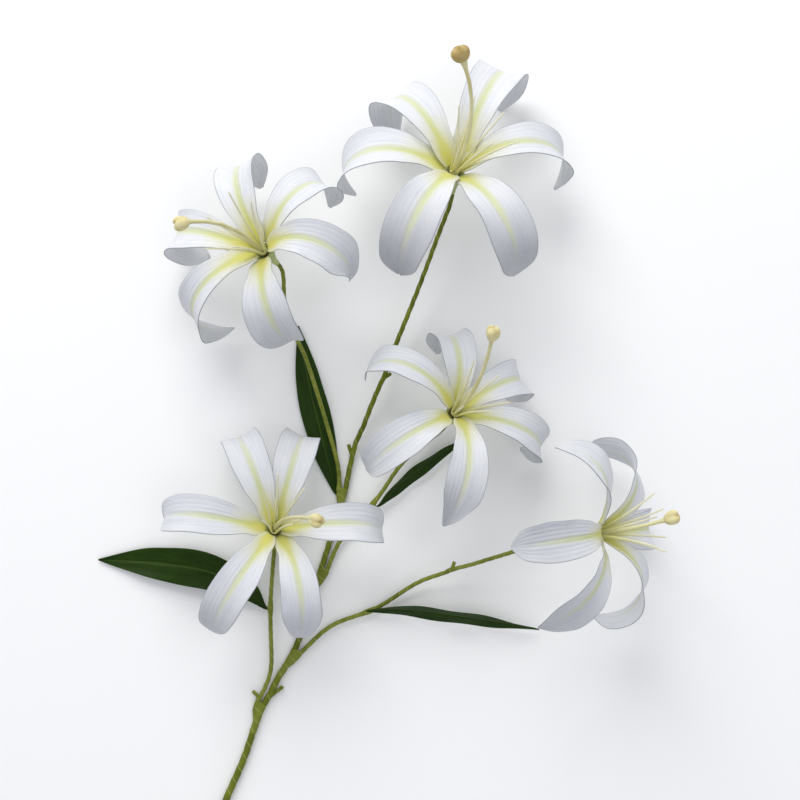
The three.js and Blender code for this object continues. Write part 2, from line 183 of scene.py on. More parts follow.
def spline(knots, count):
    """Even steps on a smooth curve through evenly spaced knots, along the first axis."""
    knots = np.asarray(knots, float)
    n = len(knots)
    rule = np.eye(n)
    bend = np.zeros_like(knots)
    for i in range(1, n - 1):
        rule[i, i - 1 : i + 2] = [1, 4, 1]
        bend[i] = 6 * (knots[i - 1] - 2 * knots[i] + knots[i + 1])
    second = np.linalg.solve(rule, bend.reshape(n, -1)).reshape(knots.shape)
    t = np.linspace(0, n - 1, count)
    i = np.minimum(t.astype(int), n - 2)
    f = (t - i).reshape(-1, *[1] * (knots.ndim - 1))
    g = 1 - f
    return (
        (g**3 - g) * second[i] / 6 + (f**3 - f) * second[i + 1] / 6 + g * knots[i] + f * knots[i + 1]
    )


def spaced(line, count_for):
    """Points at even distances on a line of straight parts, and how far along each one lies.
    count_for gives their number for the line's length."""
    run = np.concatenate([[0], np.cumsum(np.linalg.norm(np.diff(line, axis=0), axis=1))])
    at = np.linspace(0, run[-1], count_for(run[-1]))
    return np.stack([np.interp(at, run, line[:, k]) for k in range(3)], 1), at


def evened(line, step):
    """A smooth line with points at even distances, and how far along each one lies."""
    fine = spline(line, len(line) * FINENESS)
    return spaced(fine, lambda length: max(3, int(round(length / step)) + 1))


def steps(low, high, value):
    """A smooth rise from 0 to 1 as a value goes from low to high."""
    t = np.clip((value - low) / (high - low), 0, 1)
    return t * t * (3 - 2 * t)


def unit(vectors):
    return vectors / np.maximum(np.linalg.norm(vectors, axis=-1, keepdims=True), 1e-12)


def frames_on(line):
    """Two directions across a line at each of its points, that don't twist from point to point."""
    tangent = unit(np.gradient(line, axis=0))
    first = np.cross(tangent[0], UP)
    if np.linalg.norm(first) < 0.1:
        first = np.cross(tangent[0], [0, 1, 0])
    across = [unit(first)]
    for t in tangent[1:]:
        across.append(unit(across[-1] - t * (across[-1] @ t)))
    across = np.array(across)
    return tangent, across, np.cross(tangent, across)


# ---------- making pieces ----------
SEAM = 1e-7  # edges of a sheet nearer than this are one


def laid(name, points, lowest=0.0, **marks):
    """A sheet of quads laid over a table of points, rows by columns. It lies on the surface where it
    would dip under it. marks are values kept per point."""
    rows, columns = points.shape[:2]
    points = points.copy()
    points[..., 2] = np.maximum(points[..., 2], lowest)
    bpy.ops.mesh.primitive_grid_add(x_subdivisions=columns - 1, y_subdivisions=rows - 1, size=2)
    piece = bpy.context.object
    piece.name = piece.data.name = name
    flat = np.empty(len(piece.data.vertices) * 3, np.float32)
    piece.data.vertices.foreach_get("co", flat)
    flat = flat.reshape(-1, 3)
    column = np.rint((flat[:, 0] + 1) / 2 * (columns - 1)).astype(int)
    row = np.rint((flat[:, 1] + 1) / 2 * (rows - 1)).astype(int)
    piece.data.vertices.foreach_set("co", points[row, column].astype(np.float32).ravel())
    for mark, values in marks.items():
        kept = piece.data.attributes.new(mark, "FLOAT", "POINT")
        kept.data.foreach_set("value", values[row, column].astype(np.float32))
    piece.data.update()
    return piece


def edit(piece, *work):
    """Runs edit-mode operators on the whole of a piece."""
    bpy.ops.object.select_all(action="DESELECT")
    piece.select_set(True)
    bpy.context.view_layer.objects.active = piece
    bpy.ops.object.mode_set(mode="EDIT")
    bpy.ops.mesh.select_all(action="SELECT")
    for step in work:
        step()
    bpy.ops.object.mode_set(mode="OBJECT")


def closed(piece):
    """Merges the seam and the poles of a rolled sheet, turns its faces out and smooths it."""
    edit(
        piece,
        lambda: bpy.ops.mesh.remove_doubles(threshold=SEAM),
        lambda: bpy.ops.mesh.normals_make_consistent(inside=False),
        lambda: bpy.ops.mesh.faces_shade_smooth(),
    )
    return piece


def rolled(name, line, radius, around):
    """A closed round rod on a line. radius gives the radii for tables of distance and turn. Its
    marks are run, the distance from its foot, and core, which is 1 at the middle of its ends."""
    line, at = line
    tangent, across, up = frames_on(line)
    turn = np.linspace(0, 2 * math.pi, around + 1)[None, :]
    run = at[:, None] + 0 * turn
    wide = radius(run, turn)
    ring = (
        line[:, None]
        + wide[..., None] * np.cos(turn)[..., None] * across[:, None]
        + wide[..., None] * np.sin(turn)[..., None] * up[:, None]
    )
    ring[:, -1] = ring[:, 0]
    first = np.repeat(ring[:1].mean(1, keepdims=True), around + 1, 1)
    last = np.repeat(ring[-1:].mean(1, keepdims=True), around + 1, 1)
    points = np.concatenate([first, ring, last])
    run = np.concatenate([run[:1], run, run[-1:]])
    core = np.zeros_like(run)
    core[0] = core[-1] = 1
    return closed(laid(name, points, run=run, core=core))


def join(name, pieces):
    bpy.ops.object.select_all(action="DESELECT")
    for piece in pieces:
        piece.select_set(True)
    bpy.context.view_layer.objects.active = pieces[0]
    bpy.ops.object.join()
    pieces[0].name = pieces[0].data.name = name
    return pieces[0]


def stand_for(piece, slot, *nodes):
    """Gives a piece its place in the part."""
    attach(piece, "root")
    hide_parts(*nodes)


def finish(piece, look, slot, *nodes):
    """Gives a piece its finish and its place in the part."""
    piece.data.materials.append(look)
    stand_for(piece, slot, *nodes)


# ---------- finishes ----------
MIX_SOCKETS = (0, 6, 7)  # the share and the two colours of a colour mix
MIX_COLOUR = 2


class Finish:
    """A material and the nodes it is made of."""

    def __init__(self, name, roughness, **sockets):
        self.material = bpy.data.materials.new(name)
        self.material.use_nodes = True
        self.tree = self.material.node_tree
        self.shader = self.tree.nodes["Principled BSDF"]
        self.shader.inputs["Roughness"].default_value = roughness
        self.shader.inputs["Subsurface Radius"].default_value = (1, 1, 1)  # the same for all colours
        for socket, value in sockets.items():
            self.shader.inputs[socket.replace("_", " ")].default_value = value

    def node(self, kind, **settings):
        node = self.tree.nodes.new(kind)
        for key, value in settings.items():
            setattr(node, key, value)
        return node

    def feed(self, socket, value):
        if isinstance(value, bpy.types.NodeSocket):
            self.tree.links.new(value, socket)
        elif isinstance(value, tuple) and len(value) == 3 and socket.type == "RGBA":
            socket.default_value = (*value, 1)
        else:
            socket.default_value = value

    def calc(self, operation, *values):
        node = self.node("ShaderNodeMath", operation=operation)
        for socket, value in zip(node.inputs, values):
            self.feed(socket, value)
        return node.outputs[0]

    def times(self, value, by):
        return self.calc("MULTIPLY", value, by)

    def plus(self, value, more):
        return self.calc("ADD", value, more)

    def step(self, value, low, high, to_low=0.0, to_high=1.0):
        """A smooth change from to_low to to_high as a value goes from low to high."""
        node = self.node("ShaderNodeMapRange", interpolation_type="SMOOTHSTEP")
        for socket, given in zip(node.inputs, (value, low, high, to_low, to_high)):
            self.feed(socket, given)
        return node.outputs[0]

    def level(self, value, *stops):
        """A value that follows stops of (place, level)."""
        node = self.node("ShaderNodeValToRGB")
        ramp = node.color_ramp
        while len(ramp.elements) < len(stops):
            ramp.elements.new(0.5)
        for element, (place, level) in zip(ramp.elements, stops):
            element.position = place
            element.color = (level, level, level, 1)
        self.feed(node.inputs[0], value)
        return node.outputs[0]

    def mix(self, share, low, high):
        """A colour between two, from low at 0 to high at 1."""
        node = self.node("ShaderNodeMix", data_type="RGBA")
        for place, given in zip(MIX_SOCKETS, (share, low, high)):
            self.feed(node.inputs[place], given)
        return node.outputs[MIX_COLOUR]

    def sheet(self):
        """Across and along, from 0 to 1, on the piece's own sheet."""
        split = self.node("ShaderNodeSeparateXYZ")
        self.feed(split.inputs[0], self.node("ShaderNodeTexCoord").outputs["UV"])
        return split.outputs[0], split.outputs[1]

    def off_middle(self, across):
        """0 on the middle of a sheet and 1 on its margins."""
        return self.times(self.calc("ABSOLUTE", self.calc("SUBTRACT", across, 0.5)), 2.0)

    def mark(self, name):
        """A value that is kept per point."""
        return self.node("ShaderNodeAttribute", attribute_name=name).outputs["Fac"]

    def place(self):
        return self.node("ShaderNodeTexCoord").outputs["Object"]

    def vector(self, x, y, z=0.0):
        node = self.node("ShaderNodeCombineXYZ")
        for socket, value in zip(node.inputs, (x, y, z)):
            self.feed(socket, value)
        return node.outputs[0]

    def noise(self, vector, scale):
        node = self.node("ShaderNodeTexNoise")
        self.feed(node.inputs["Vector"], vector)
        for socket, value in (("Scale", scale), ("Detail", 3.0), ("Roughness", 0.55)):
            node.inputs[socket].default_value = value
        return node.outputs["Fac"]

    def spots(self, scale):
        """Noise through the piece."""
        return self.noise(self.place(), scale)

    def done(self, colour, height=None, depth=None):
        """Ends a finish with its colour and, where it has one, a relief of a depth in metres."""
        self.feed(self.shader.inputs["Base Color"], colour)
        if height is not None:
            bump = self.node("ShaderNodeBump")
            bump.inputs["Strength"].default_value = 1.0
            bump.inputs["Distance"].default_value = depth
            self.feed(bump.inputs["Height"], height)
            self.feed(self.shader.inputs["Normal"], bump.outputs[0])
        return self.material


WHITE = (0.745, 0.757, 0.785)
LAVENDER = (0.46, 0.48, 0.59)
EDGE_GREY = (0.25, 0.27, 0.29)
# Painted shade: the colour that the far half of a tepal is greyed towards.
PAINTED_SHADE_GREY = (0.33, 0.33, 0.36)
STRIPE = (0.56, 0.60, 0.25)
THROAT = (0.66, 0.63, 0.14)
LEAF_RIB = (0.06, 0.105, 0.015)
LEAF_EDGE = (0.045, 0.085, 0.012)
TAPE_EDGE = (0.40, 0.42, 0.13)
CORE_RING = (0.42, 0.44, 0.22)
CORE_WIRE = (0.06, 0.055, 0.045)
FILAMENT_BLOTCH = (0.56, 0.54, 0.26)
# Painted shade: the dark brown put in the hollow of a cup's mouth.
HOLLOW_PAINTED_SHADE = (0.10, 0.085, 0.015)


def tepal_finish(name, white, shade):
    """Cool white with fine streaks, a soft yellow-green stripe, a yellow foot, and painted shade that
    makes the far half of a tepal greyer by a mark of its own.
    """
    soft = Finish(
        name, 0.62, Subsurface_Weight=0.25, Subsurface_Scale=0.002, Sheen_Weight=0.15,
        Specular_IOR_Level=0.35,
    )
    x, y = soft.sheet()
    off = soft.off_middle(x)
    drift = soft.spots(22.0)
    grain, fine = (
        soft.noise(soft.vector(soft.times(x, across), soft.times(y, along), drift), 1.0)
        for across, along in ((30.0, 2.2), (110.0, 7.0))
    )
    streak = soft.plus(soft.step(grain, 0.42, 0.72, 0.0, 0.3), soft.step(fine, 0.45, 0.75, 0.0, 0.16))
    colour = soft.mix(streak, white, shade)
    colour = soft.mix(soft.step(drift, 0.4, 0.7, 0.0, 0.18), colour, shade)
    # Painted shade: the far half of the tepal is greyed by its per-point mark.
    greyed = soft.times(soft.step(y, 0.2, 0.85, 0.0, 0.75), soft.mark("grey"))
    colour = soft.mix(greyed, colour, PAINTED_SHADE_GREY)
    colour = soft.mix(soft.step(off, 0.965, 1.0, 0.0, 0.85), colour, EDGE_GREY)
    width = soft.level(
        y, (0.0, 0.8), (0.1, 0.46), (0.24, 0.27), (0.6, 0.18), (0.88, 0.09), (1.0, 0.02)
    )
    wander = soft.times(soft.calc("SUBTRACT", grain, 0.5), 0.1)
    stripe = soft.step(soft.plus(off, wander), 0.0, soft.times(width, 1.5), 1.0, 0.0)
    strength = soft.level(y, (0.0, 1.0), (0.3, 0.85), (0.55, 0.6), (0.75, 0.28), (0.9, 0.0))
    colour = soft.mix(soft.times(stripe, strength), colour, STRIPE)
    foot = soft.level(y, (0.0, 1.0), (0.08, 0.9), (0.18, 0.45), (0.33, 0.0))
    foot = soft.times(foot, soft.step(off, 0.2, 1.0, 1.0, 0.45))
    colour = soft.mix(foot, colour, THROAT)
    return soft.done(colour, soft.plus(fine, soft.times(grain, 0.6)), 0.18 * MM)


def leaf_finish(name, green, pale, roughness):
    """Green in soft blotches, with paler veins along it, a pale midrib and a pale edge."""
    leaf = Finish(name, roughness, Specular_IOR_Level=0.13)
    x, y = leaf.sheet()
    off = leaf.off_middle(x)
    vein = leaf.calc("ABSOLUTE", leaf.calc("COSINE", leaf.times(off, 22.0)))
    vein = leaf.calc("POWER", vein, 8.0)
    blotch = leaf.noise(leaf.vector(leaf.times(x, 6.0), leaf.times(y, 9.0)), 1.0)
    colour = leaf.mix(leaf.step(blotch, 0.35, 0.75, 0.0, 0.45), green, pale)
    colour = leaf.mix(leaf.times(vein, 0.12), colour, pale)
    colour = leaf.mix(leaf.step(off, 0.02, 0.09, 0.6, 0.0), colour, LEAF_RIB)
    colour = leaf.mix(leaf.step(off, 0.94, 0.99, 0.0, 0.4), colour, LEAF_EDGE)
    return leaf.done(colour, leaf.plus(leaf.times(vein, 0.15), blotch), 0.3 * MM)


def tape_finish(name, light, dark, pitch):
    """Crepe tape wound round a stem: darker where it laps, with a pale edge. A cut end shows a pale
    ring and a dark wire."""
    tape = Finish(name, 0.55, Specular_IOR_Level=0.2)
    x, _ = tape.sheet()
    run = tape.mark("run")
    phase = tape.calc("FRACT", tape.plus(tape.times(run, 1 / pitch), x))
    seam = tape.plus(tape.step(phase, 0.0, 0.08, 1.0, 0.0), tape.step(phase, 0.93, 1.0, 0.0, 1.0))
    crepe = tape.noise(tape.vector(tape.times(x, 9.0), tape.times(run, 900.0)), 1.0)
    colour = tape.mix(tape.step(tape.spots(60.0), 0.3, 0.75), light, dark)
    colour = tape.mix(tape.times(seam, 0.4), colour, dark)
    edge = tape.step(phase, 0.04, 0.09, 0.0, 1.0)
    edge = tape.times(edge, tape.step(phase, 0.09, 0.15, 0.85, 0.0))
    colour = tape.mix(edge, colour, TAPE_EDGE)
    core = tape.mark("core")
    colour = tape.mix(tape.step(core, 0.18, 0.26), colour, CORE_RING)
    colour = tape.mix(tape.step(core, 0.62, 0.68), colour, CORE_WIRE)
    return tape.done(colour, crepe, 0.3 * MM)


def style_finish(name, light, dark):
    """A soft moulded finish: two tones in blotches, and a fine grain."""
    soft = Finish(name, 0.42, Subsurface_Weight=0.15, Subsurface_Scale=0.001)
    colour = soft.mix(soft.step(soft.spots(70.0), 0.3, 0.7), light, dark)
    return soft.done(colour, soft.spots(840.0), 0.2 * MM)


def filament_finish(name, foot, end):
    """Yellow at the foot and paler towards the end."""
    soft = Finish(name, 0.45, Subsurface_Weight=0.15, Subsurface_Scale=0.001)
    colour = soft.mix(soft.step(soft.mark("run"), 2 * MM, 26 * MM), foot, end)
    colour = soft.mix(soft.step(soft.spots(80.0), 0.3, 0.7, 0.0, 0.35), colour, FILAMENT_BLOTCH)
    return soft.done(colour, soft.spots(900.0), 0.2 * MM)


def cup_finish(name, light, dark):
    """A soft green, with painted shade that turns it dark brown in the hollow of the mouth."""
    soft = Finish(name, 0.55)
    colour = soft.mix(soft.step(soft.spots(90.0), 0.3, 0.7), light, dark)
    # Painted shade in the hollow of the mouth.
    colour = soft.mix(soft.mark("hollow"), colour, HOLLOW_PAINTED_SHADE)
    return soft.done(colour, soft.spots(1100.0), 0.2 * MM)


def stigma_finish(name, light, dark):
    """A soft grainy finish, with painted shade that darkens it into the clefts between the lobes."""
    soft = Finish(name, 0.6)
    colour = soft.mix(soft.step(soft.spots(160.0), 0.35, 0.7, 0.0, 0.6), light, dark)
    # Painted shade in the clefts between the lobes.
    colour = soft.mix(soft.times(soft.mark("deep"), 0.85), colour, dark)
    return soft.done(colour, soft.spots(1500.0), 0.4 * MM)


tepal_face = tepal_finish("tepal_face", WHITE, LAVENDER)
leaf_face = leaf_finish("leaf_face", (0.012, 0.033, 0.001), (0.026, 0.066, 0.002), 0.42)
STEM_PITCH = 8 * MM  # of one turn of the tape
STALK_PITCH = 6 * MM
stem_tape = tape_finish("stem_tape", (0.165, 0.195, 0.014), (0.08, 0.10, 0.006), STEM_PITCH)
stalk_tape = tape_finish("stalk_tape", (0.235, 0.265, 0.04), (0.125, 0.15, 0.014), STALK_PITCH)
cup_green = cup_finish("cup_green", (0.50, 0.56, 0.22), (0.34, 0.41, 0.11))
filament_cream = filament_finish("filament_cream", (0.66, 0.64, 0.24), (0.78, 0.75, 0.55))
style_cream = style_finish("style_cream", (0.70, 0.67, 0.40), (0.58, 0.54, 0.26))
stigma_cream = stigma_finish("stigma_cream", (0.76, 0.70, 0.40), (0.62, 0.50, 0.20))
stigma_ochre = stigma_finish("stigma_ochre", (0.50, 0.39, 0.15), (0.34, 0.21, 0.05))


# ---------- tepals and leaves ----------
ANY_PHASE = 6.28
TEPAL_GROOVE = 0.55 * MM  # deep on the midrib
TEPAL_GROOVE_WIDTH = 2.0 * MM
PLEATS = 9
LEAF_GROOVE = 0.5 * MM
LEAF_GROOVE_WIDTH = 0.9 * MM
LEAF_VEIN = 0.02 * MM
LEAF_VEINS = 14
LEAF_WAVE = 0.5 * MM


def blade_net(node, near, upward):
    """The middle of a blade: rows along it, from its foot near a place, of five points across.
    upward gives the way that the upper face looks at a point."""
    rings = rings_of(node, near)
    half = BLADE_SIDES // 2
    spans = [np.linalg.norm(rings[:, k] - rings[:, k + half], axis=1).sum() for k in range(half)]
    rings = np.roll(rings, -int(np.argmax(spans)), axis=1)
    inner = ((rings[:, k] + rings[:, BLADE_SIDES - k]) / 2 for k in range(1, half))
    net = np.stack([rings[:, 0], *inner, rings[:, half]], 1)
    look = rings[2, 2] - rings[2, 6]
    if look @ upward(net[2, 2]) < 0:
        look = -look
    across, along = net[2, 4] - net[2, 0], net[3, 2] - net[2, 2]
    if np.cross(across, along) @ look < 0:
        net = net[:, ::-1]
    return net


def blade(name, net, grid, relief, widen, grey=0.0):
    """A thin blade over a net, with a relief worked into it. widen gives how many times its net's
    width it has, and the last one gives how much painted shade makes its far half greyer."""
    rows, columns = grid
    share = widen(np.linspace(0, 1, len(net)))[:, None, None]
    net = net[:, 2:3] + (net - net[:, 2:3]) * share
    points = spline(net, rows)
    points = spline(points.transpose(1, 0, 2), columns).transpose(1, 0, 2)
    along = np.linspace(0, 1, rows)[:, None]
    across = np.linspace(-1, 1, columns)[None, :]
    half = np.linalg.norm(points[:, -1] - points[:, 0], axis=1)[:, None] / 2
    normal = unit(np.cross(np.gradient(points, axis=1), np.gradient(points, axis=0)))
    points = points + normal * relief(along, across, half)[..., None]
    piece = laid(name, points, lowest=BLADE_THICKNESS / 2, grey=np.full(grid, grey))
    solid = piece.modifiers.new("thickness", "SOLIDIFY")
    solid.thickness = BLADE_THICKNESS
    solid.offset = 0
    bpy.ops.object.modifier_apply(modifier=solid.name)
    edit(piece, lambda: bpy.ops.mesh.faces_shade_smooth())
    return piece


# Tepals that draw in to a slim tip before it curls, and by how much.
SLIM_TIPS = {
    "top_3": 0.5, "top_6": 0.5, "left_3": 0.6, "left_5": 0.4, "middle_1": 0.45, "middle_4": 0.25,
    "middle_5": 0.4, "lower_4": 0.3, "right_2": 0.3, "right_6": 0.3,
}

# Painted shade: tepals whose far half is painted greyer, as if turned from the light, and by how
# much.
PAINTED_SHADE_TEPALS = {
    "top_1": 1.0, "top_2": 0.85, "left_3": 0.5, "left_4": 0.6, "left_5": 0.5, "middle_5": 0.8,
    "middle_6": 0.45, "lower_4": 0.5, "lower_5": 0.6, "right_1": 0.6, "right_6": 0.6,
}
# Painted shade on the far half of every other tepal.
LEAST_PAINTED_SHADE = 0.2
FULL_TEPAL = "left_4"  # broader in the middle than the frame's blade
PLEAT = 0.07 * MM
DEEP_PLEAT = 0.12 * MM  # of the flower that faces sideways


def tepal_width(tepal):
    """Wider than the frame's blade at the foot, where the tepals lap."""

    def widen(share):
        foot = 1 + 1.1 * (1 - steps(0.0, 0.22, share))
        belly = 0.1 * np.sin(math.pi * share) if tepal == FULL_TEPAL else 0.0
        return (foot + belly) * (1 - SLIM_TIPS.get(tepal, 0) * steps(0.7, 0.92, share))

    return widen


def tepal_relief(seed, pleat):
    """A groove on the midrib, fine pleats, and margins that ruffle each in its own way."""
    draw = random.Random(seed)
    waves = [
        [
            (draw.uniform(1.2, 2.2), draw.uniform(0, ANY_PHASE), 0.7),
            (draw.uniform(2.8, 4.4), draw.uniform(0, ANY_PHASE), 0.35),
        ]
        for _ in range(2)
    ]
    dent = draw.uniform(0.8, 1.2)

    def relief(along, across, half):
        mid = np.exp(-((across * half / TEPAL_GROOVE_WIDTH) ** 2))
        groove = -TEPAL_GROOVE * mid * steps(0.02, 0.2, along) * (1 - steps(0.8, 1, along)) * dent
        inside = 1 - steps(0.82, 1.0, np.abs(across))
        rib = pleat * np.cos(across * math.pi * PLEATS + along) * inside * steps(0.08, 0.3, along)
        rib = rib * (1 - steps(0.85, 1.0, along))
        margin = np.abs(across) ** 2.5 * steps(0.12, 0.45, along)
        ruffle = 0
        for side, pair in zip((across < 0, across >= 0), waves):
            for beats, start, size in pair:
                ruffle = ruffle + side * size * MM * np.sin(2 * math.pi * beats * along + start)
        return groove + rib + ruffle * margin

    return relief


def leaf_relief(seed):
    """A narrow groove on the midrib, faint veins and slow waves along the margins."""
    start = random.Random(seed).uniform(0, ANY_PHASE)

    def relief(along, across, half):
        mid = np.exp(-((across * half / LEAF_GROOVE_WIDTH) ** 2))
        groove = -LEAF_GROOVE * mid * (1 - steps(0.85, 1, along))
        inside = 1 - steps(0.8, 1.0, np.abs(across))
        rib = LEAF_VEIN * np.cos(across * math.pi * LEAF_VEINS) * inside
        margin = np.abs(across) ** 2 * steps(0.1, 0.4, along)
        return groove + rib + LEAF_WAVE * margin * np.sin(2 * math.pi * 3 * along + start + across)

    return relief


# ---------- flowers ----------
# A pistil: how far below its end the style flares, the size of its stigma, and the stigma's finish.
RIPE = (13 * MM, 1.12, stigma_ochre)
YOUNG = (8 * MM, 0.85, stigma_cream)
STYLE_RADIUS = 1.4 * MM
STYLE_TAPER = 0.25 * MM
STYLE_FLARE = 2.5 * MM
STYLE_STEP = 1.0 * MM
STIGMA_COVER = 5.6 * MM  # of the style's end
STIGMA_SEAT = 3.9 * MM  # from the stigma's middle to the pistil's end
STIGMA_RADIUS = 5.3 * MM
STIGMA_HEIGHT = 4.2 * MM  # over its middle
STIGMA_CLEFT = 1.0 * MM
DIMPLE = 1.7 * MM
DIMPLE_WIDTH = 1.6 * MM


def bent(start, axis, radial, spread, curl, length, count):
    """A line that leaves an axis at an angle and bends back evenly."""
    side = axis.cross(radial).normalized()
    tangent = Quaternion(side, math.radians(spread)) @ axis
    bend = Quaternion(side, math.radians(curl / count / 2))
    line = [start.copy()]
    for _ in range(count):
        tangent = bend @ tangent
        line.append(line[-1] + tangent * (length / count))
        tangent = bend @ tangent
    return line


def heading(degrees):
    return Vector((math.cos(math.radians(degrees)), math.sin(math.radians(degrees)), 0))


def make_stamens(name, flower, throat, turn):
    """The collar in the throat and the six bare filaments that grow from it."""
    foot = -CUP_MOUTH + COLLAR_GAP
    top = foot + COLLAR_HEIGHT
    axis = Quaternion(heading(flower["turn"] + 90), math.radians(flower["lean"])) @ UP
    reach = FILAMENT_LENGTH * flower["size"]
    parts = [make_collar(name, foot, top, throat, turn)]
    for k in range(6):
        radial = heading(FILAMENT_TURN + 60 * k)
        start = radial * (COLLAR_RADIUS - FILAMENT_RADIUS)
        start.z = top - FILAMENT_RADIUS
        line = bent(start, axis, radial, FILAMENT_SPREADS[k % 2], FILAMENT_CURL, reach, 8)
        smooth = evened(np.array([(turn @ p + throat)[:] for p in line]), FILAMENT_STEP)
        length = smooth[1][-1]

        def radius(run, around):
            taper = FILAMENT_RADIUS * (1.4 - 0.65 * run / length)
            return taper * np.sqrt(np.clip((length - run) / FILAMENT_STEP, 0.05, 1))

        parts.append(rolled(f"filament_{k}", smooth, radius, 10))
    finish(join("filaments_" + name, parts), filament_cream, "filament", "stamens_" + name)


def make_collar(name, foot, top, throat, turn):
    """The ring that the filaments grow from, with rounded lips."""
    around = np.linspace(0, 2 * math.pi, 37)
    ring = np.linspace(0, 2 * math.pi, 21)
    middle = (COLLAR_RADIUS + COLLAR_HOLE) / 2
    half = (COLLAR_RADIUS - COLLAR_HOLE) / 2
    reach = middle + half * np.cos(ring)[:, None] + 0 * around
    rise = np.sign(np.sin(ring)) * np.abs(np.sin(ring)) ** 0.6
    height = (foot + top) / 2 + (top - foot) / 2 * rise
    local = swept(reach, height[:, None], around)
    return closed(laid("collar_" + name, placed(local, throat, turn), run=np.zeros_like(reach)))


def swept(reach, height, around):
    """Points round an upright axis, from tables of their distance from it and their height."""
    return np.stack([reach * np.cos(around), reach * np.sin(around), height + 0 * around], -1)


def placed(local, throat, turn):
    """Points of a flower's own frame, in their place."""
    matrix = np.array(turn.to_matrix())
    return local @ matrix.T + np.array(throat)


def make_cup(name, throat, turn, back):
    """The short green cup behind the tepals, six-ribbed, its mouth hollowed."""
    length = (Vector(back) - throat).length - CUP_MOUTH
    along = np.linspace(0, 1, 34)
    wide = spline(np.array(CUP_RADII), len(along)) * MM
    around = np.linspace(0, 2 * math.pi, 61)
    ribs = 1 + 0.05 * np.cos(6 * around)[None, :] * steps(0.1, 0.7, along)[:, None]
    reach = wide[:, None] * ribs
    height = (-CUP_MOUTH - length * (1 - along))[:, None]
    inner_reach = np.array([share for share, _ in CUP_LIP])[:, None] * reach[-1]
    inner_height = np.array([-CUP_MOUTH + rise * MM for _, rise in CUP_LIP])[:, None]
    reach = np.concatenate([reach[:1] * 0, reach, inner_reach])
    height = np.concatenate([height[:1], height, inner_height])
    # The hollow of the mouth is marked for painted shade.
    hollow = np.zeros_like(reach)
    hollow[-3:] = 1
    local = swept(reach, height, around)
    piece = closed(laid("green_cup_" + name, placed(local, throat, turn), hollow=hollow))
    finish(piece, cup_green, "cup", "cup_" + name)


def make_pistil(name, throat):
    """The style, and the three-lobed stigma on its end."""
    neck, size, stigma_look = RIPE if name == "top" else YOUNG
    centres = rings_of("pistil_" + name, throat).mean(1)
    smooth, at = evened(spaced(centres, lambda length: 16)[0], STYLE_STEP)
    bare = at < at[-1] - STIGMA_COVER
    smooth, at = smooth[bare], at[bare]
    length = at[-1]

    def radius(run, around):
        shaft = STYLE_RADIUS - STYLE_TAPER * steps(0, length * 0.6, run)
        flare = STYLE_FLARE * steps(length - neck, length + STYLE_FLARE, run) ** 1.7
        return (shaft + flare) * (1 - 0.05 * np.cos(3 * around))

    style = rolled("style_" + name, (smooth, at), radius, 24)
    style.data.materials.append(style_cream)
    axis = Vector(unit(centres[-1] - smooth[-3]))
    stigma = make_stigma(Vector(centres[-1]) - axis * STIGMA_SEAT, axis, size)
    stigma.data.materials.append(stigma_look)
    stand_for(join("pistil_whole_" + name, [style, stigma]), "style", "pistil_" + name)


def make_stigma(centre, axis, size):
    """A knob of three swollen lobes with a dimple where they meet."""
    around = np.linspace(0, 2 * math.pi, 61)[None, :]
    down = np.linspace(0, math.pi, 37)[:, None]
    lobes = 0.5 + 0.5 * np.cos(3 * around)
    reach = np.sin(down)
    wide = STIGMA_RADIUS * size * (1 - 0.22 * (1 - lobes) ** 2 * reach**0.5) * reach
    high = STIGMA_HEIGHT * np.cos(down)
    dimple = DIMPLE * np.exp(-((wide / DIMPLE_WIDTH) ** 2)) * (np.cos(down) > 0)
    cleft = STIGMA_CLEFT * (1 - lobes) ** 3 * np.clip(np.cos(down), 0, 1)
    high = np.where(np.cos(down) < 0, high * 1.45, high - dimple - cleft)
    turn = UP.rotation_difference(axis)
    # How deep a point lies in a cleft, for the painted shade there.
    deep = np.clip(1 - lobes, 0, 1) ** 2 * np.clip(np.cos(down) + 0.4, 0, 1)
    return closed(laid("stigma", placed(swept(wide, high, around), centre, turn), deep=deep))


for name, flower in FLOWERS.items():
    throat, turn, axis, back = flower_frame(name)
    for k in range(1, 7):
        node = f"tepal_{name}_{k}"
        net = blade_net(
            node, throat, lambda p: np.array(axis) * 2 - unit(np.array(Vector(p) - throat))
        )
        relief = tepal_relief(node, DEEP_PLEAT if name == "right" else PLEAT)
        tepal = f"{name}_{k}"
        # How much painted shade makes this tepal's far half greyer.
        grey = PAINTED_SHADE_TEPALS.get(tepal, LEAST_PAINTED_SHADE)
        piece = blade(f"petal_{tepal}", net, TEPAL_GRID, relief, tepal_width(tepal), grey)
        finish(piece, tepal_face, "tepal", node)
    make_cup(name, throat, turn, back)
    make_stamens(name, flower, throat, turn)
    make_pistil(name, throat)
    flower["back"] = back

# The leaves, one on each side stalk, by the name of its flower.
LEAVES = {}
for name in ("left", "middle", "lower", "right"):
    near = start_of("stalk_" + name, name)
    LEAVES[name] = blade_net("leaf_" + name, near, lambda p: np.array(UP))


# ---------- stems ----------
STEP = 0.7 * MM  # between the rings of a stem
KNOT_STEP = 9 * MM  # between the knots of its smooth middle line
CUT_STEP = 4 * MM  # between the places where the frame's stem is cut to find its middle
STUB_STEP = 0.5 * MM
STUB_RIDGE = 0.12 * MM
SWELL = 0.55 * MM  # of the tape where it binds a leaf's foot
SWELL_REACH = 3.5 * MM


def stem_line(node, start, first_heading, thick, to):
    """The middle of a stem from its foot to the cup of its flower, at even steps."""
    line = middle_line(node, start, first_heading, CUT_STEP, thick * 1.7)
    line = np.concatenate([line, [np.array(to)]])
    knots, _ = spaced(line, lambda length: max(8, int(length / KNOT_STEP)))
    return evened(knots, STEP)


